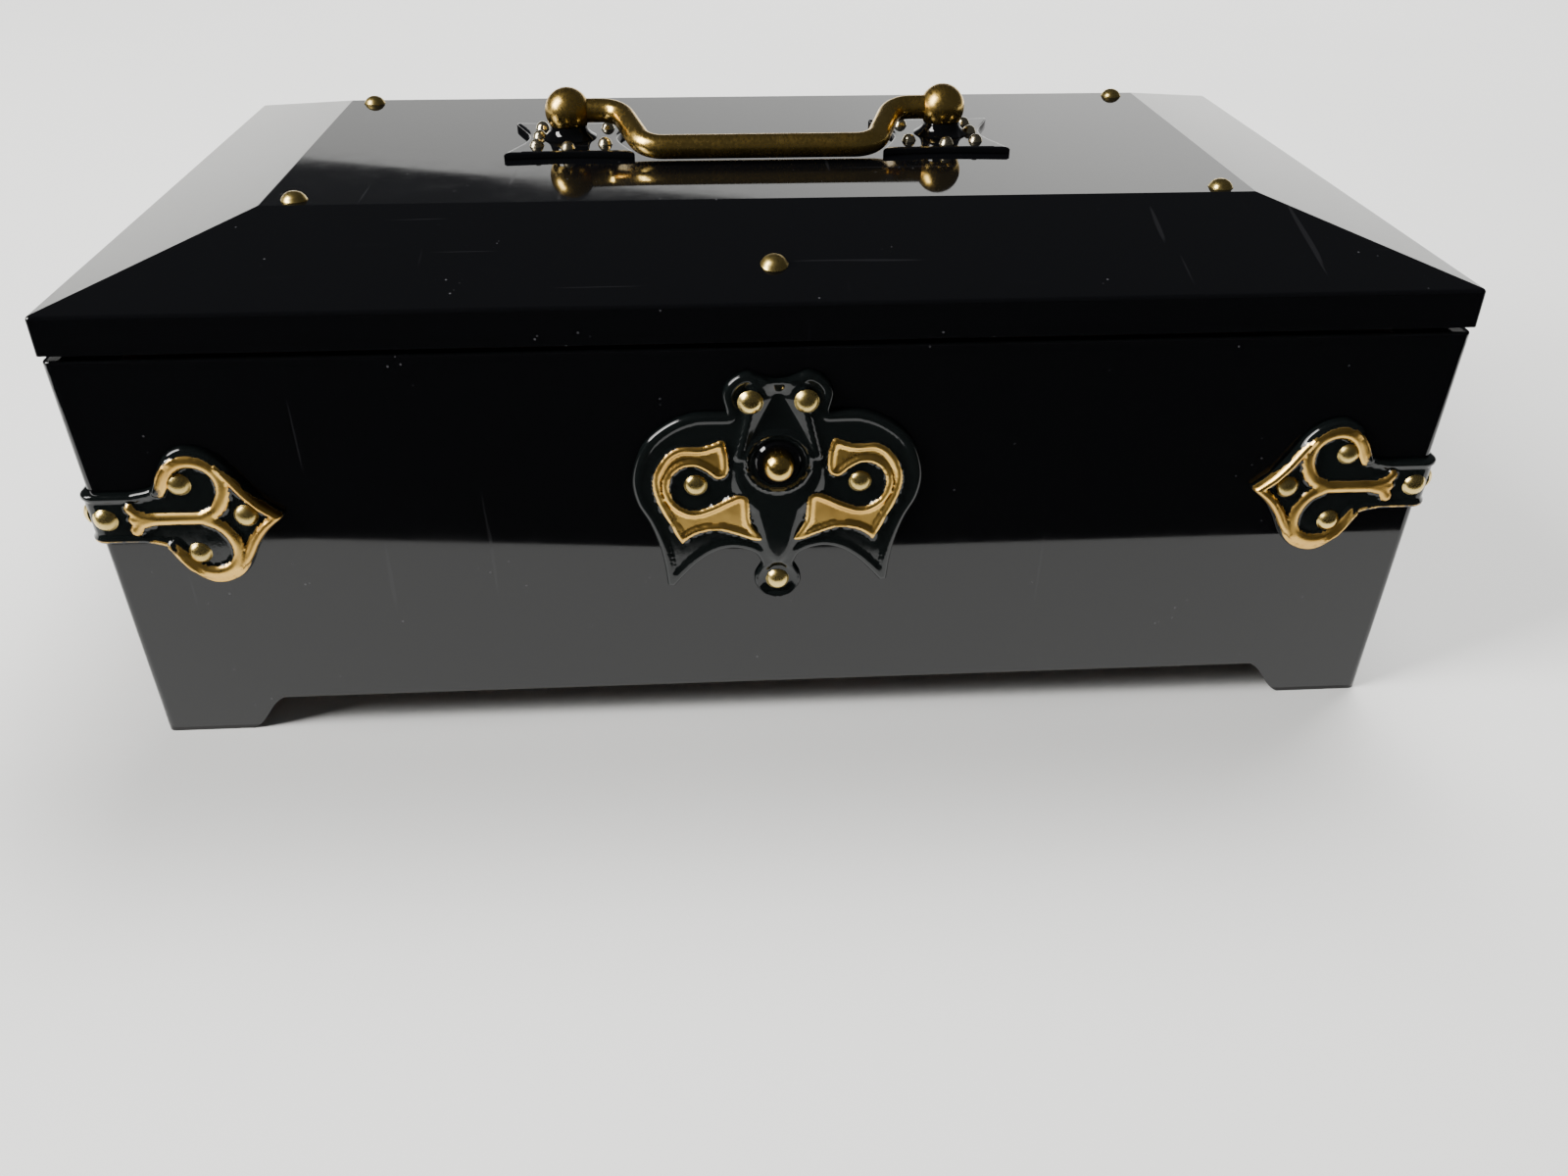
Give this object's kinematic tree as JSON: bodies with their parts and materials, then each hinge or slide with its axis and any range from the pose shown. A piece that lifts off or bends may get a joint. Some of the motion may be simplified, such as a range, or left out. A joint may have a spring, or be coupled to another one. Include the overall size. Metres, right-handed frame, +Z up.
{
  "type": "wind-up music box",
  "caption": "Long box on moulded feet with a hipped hinged lid, bail handle, relief mounts and push-button catch, holding a key-wound pinned-cylinder movement beside a lined tray.",
  "frame": {"origin": "centre of the footprint, in the plane of the feet", "axes": "+X along the length of the box, -Y out of the front with the push button, +Z up"},
  "size_m": [0.1934, 0.123, 0.082],
  "materials": {
    "black_plastic": "high gloss black moulding with faint scuffs",
    "panel_board": "dark hardboard",
    "brass": "aged brass, polished on the high spots",
    "lacquered_plate": "black lacquered stamping with brass wearing through on the relief",
    "steel": "turned and plated steel",
    "spring_steel": "blued spring steel",
    "comb_steel": "ground hardened steel",
    "die_cast": "sand-textured die casting",
    "velvet": "deep red velvet",
    "satin": "red satin",
    "clear_cover": "clear moulded cover",
    "nylon": "natural nylon"
  },
  "bodies": {
    "box": {"body_shell": "black_plastic", "bottom_panel": "panel_board", "panel_screws": "steel", "hinge_body_leaf_left": "brass", "hinge_body_leaf_right": "brass", "hinge_pins": "steel", "hinge_body_screws": "steel", "corner_fitting_left": "lacquered_plate", "corner_fitting_right": "lacquered_plate", "corner_nails": "brass", "escutcheon": "lacquered_plate", "escutcheon_nails": "brass", "button_sleeve": "lacquered_plate", "latch_bracket": "steel", "lining_tray": "velvet", "movement_hood": "clear_cover", "bedplate": "die_cast", "bedplate_screws": "steel", "movement_screws": "steel", "click_spring": "spring_steel", "comb": "comb_steel", "comb_base": "die_cast", "front_bracket": "die_cast", "rear_bracket": "die_cast", "governor_frame": "die_cast"},
    "lid": {"lid_shell": "black_plastic", "lid_rivets": "brass", "lid_strike": "steel", "lid_lining": "satin", "hinge_lid_leaf_left": "brass", "hinge_lid_leaf_right": "brass", "hinge_lid_screws": "steel", "handle_plate_left": "lacquered_plate", "handle_plate_right": "lacquered_plate", "plate_studs": "brass", "ball_post_left": "brass", "ball_post_right": "brass"},
    "handle": {"handle_bail": "brass"},
    "button": {"push_button": "brass", "latch_plate": "steel", "button_spring": "spring_steel"},
    "winding": {"winding_arbor": "steel", "winding_key": "steel", "ratchet_wheel": "steel"},
    "click": {"click": "steel"},
    "barrel": {"barrel_cup": "brass", "crown_wheel": "brass", "mainspring": "spring_steel"},
    "cylinder": {"pinned_cylinder": "brass", "melody_pins": "steel", "cylinder_arbor": "steel", "crown_pinion": "steel", "cylinder_wheel": "brass"},
    "first_arbor": {"first_pinion": "steel", "first_wheel": "brass"},
    "second_arbor": {"second_pinion": "steel", "worm_wheel": "brass"},
    "brake": {"worm_arbor": "nylon", "air_brake": "nylon"},
    "stop": {"stop_rod": "steel"}
  },
  "joints": [
    {"name": "lid_hinge", "type": "hinge", "parent": "box", "child": "lid", "pos_m": [0, 0.0596, 0.0614], "axis": [-1, 0, 0], "range_deg": [0, 100]},
    {"name": "handle_swing", "type": "hinge", "parent": "lid", "child": "handle", "pos_m": [0, 0, 0.0784], "axis": [-1, 0, 0], "range_deg": [0, 148]},
    {"name": "button_push", "type": "slide", "parent": "box", "child": "button", "axis": [0, 1, 0], "range_m": [0, 0.002], "stiffness_N_per_m": 300, "deforming": ["button_spring"]},
    {"name": "key_wind", "type": "hinge", "parent": "box", "child": "winding", "pos_m": [-0.0704, -0.016, 0], "axis": [0, 0, 1], "continuous": true},
    {"name": "click_lift", "type": "hinge", "parent": "box", "child": "click", "pos_m": [-0.08, -0.0082, 0], "axis": [0, 0, -1], "range_deg": [0, 7], "stiffness_Nm_per_rad": 0.00005, "deforming": ["click_spring"]},
    {"name": "cylinder_turn", "type": "hinge", "parent": "box", "child": "cylinder", "pos_m": [-0.0704, 0, 0.03096], "axis": [0, 1, 0], "continuous": true},
    {"name": "barrel_turn", "type": "hinge", "parent": "box", "child": "barrel", "pos_m": [-0.0704, -0.016, 0], "axis": [0, 0, 1], "continuous": true},
    {"name": "first_arbor_turn", "type": "hinge", "parent": "box", "child": "first_arbor", "pos_m": [-0.0794, 0, 0.02661], "axis": [0, 1, 0], "continuous": true},
    {"name": "second_arbor_turn", "type": "hinge", "parent": "box", "child": "second_arbor", "pos_m": [-0.07149, 0, 0.02381], "axis": [0, 1, 0], "continuous": true},
    {"name": "brake_spin", "type": "hinge", "parent": "box", "child": "brake", "pos_m": [-0.06678, 0.025, 0], "axis": [0, 0, 1], "continuous": true},
    {"name": "stop_lift", "type": "slide", "parent": "box", "child": "stop", "axis": [0, 0, 1], "range_m": [0, 0.004]}
  ],
  "couplings": [
    {"joint": "barrel_turn", "follows": "cylinder_turn", "ratio": 0.25},
    {"joint": "first_arbor_turn", "follows": "cylinder_turn", "ratio": -4},
    {"joint": "second_arbor_turn", "follows": "cylinder_turn", "ratio": 12},
    {"joint": "brake_spin", "follows": "cylinder_turn", "ratio": 216},
    {"joint": "stop_lift", "follows": "lid_hinge", "m_per_rad": 0.0022918}
  ]
}
